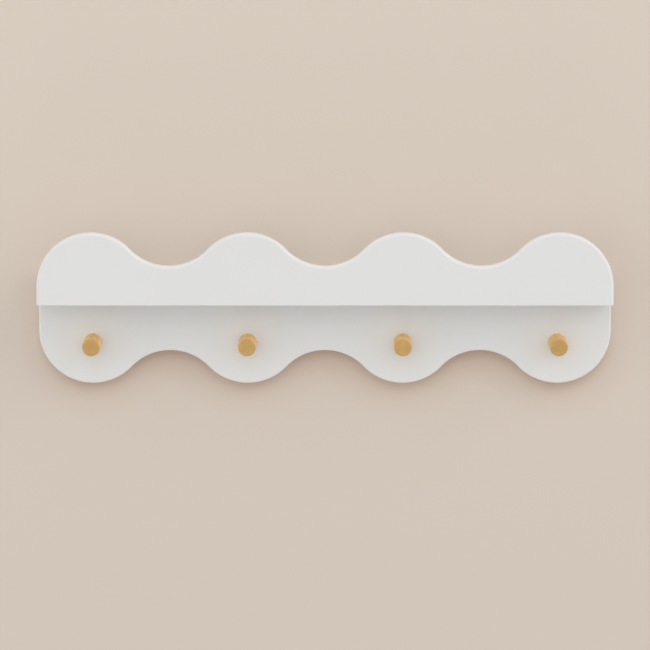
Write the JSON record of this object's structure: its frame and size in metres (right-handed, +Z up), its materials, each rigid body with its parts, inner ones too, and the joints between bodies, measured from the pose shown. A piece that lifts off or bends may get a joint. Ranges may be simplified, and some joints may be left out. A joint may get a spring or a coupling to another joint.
{
  "type": "wavy wall peg rail with ledge shelf",
  "caption": "Wall-hung rail with a wavy outline: plain round wooden pegs below, and above them a narrow trough shelf behind a tall scalloped front lip.",
  "frame": {"origin": "centre of the flat rear face that lies on the wall, halfway between the top of the front lip and the bottom of the back board", "axes": "+X to the right along the rail, +Z up, -Y out into the room; +Y points into the wall"},
  "size_m": [0.6, 0.066, 0.1634],
  "materials": {
    "white_paint": "fibreboard with a smooth satin white paint",
    "peg_wood": "natural light wood, clear matt lacquer",
    "dowel_wood": "raw wood",
    "zinc_steel": "bright zinc plate"
  },
  "bodies": {
    "root": {"back_board": "white_paint", "front_lip": "white_paint", "shelf_plank": "white_paint", "peg_1": "peg_wood", "peg_2": "peg_wood", "peg_3": "peg_wood", "peg_4": "peg_wood", "peg_screw_1": "zinc_steel", "peg_screw_2": "zinc_steel", "peg_screw_3": "zinc_steel", "peg_screw_4": "zinc_steel", "shelf_screw_1": "zinc_steel", "shelf_screw_2": "zinc_steel", "shelf_screw_3": "zinc_steel", "shelf_screw_4": "zinc_steel", "shelf_screw_5": "zinc_steel", "lip_dowel_1": "dowel_wood", "lip_dowel_2": "dowel_wood", "lip_dowel_3": "dowel_wood", "lip_dowel_4": "dowel_wood", "keyhole_plate_left": "zinc_steel", "keyhole_plate_right": "zinc_steel", "plate_screw_left_upper": "zinc_steel", "plate_screw_left_lower": "zinc_steel", "plate_screw_right_upper": "zinc_steel", "plate_screw_right_lower": "zinc_steel"}
  },
  "joints": []
}
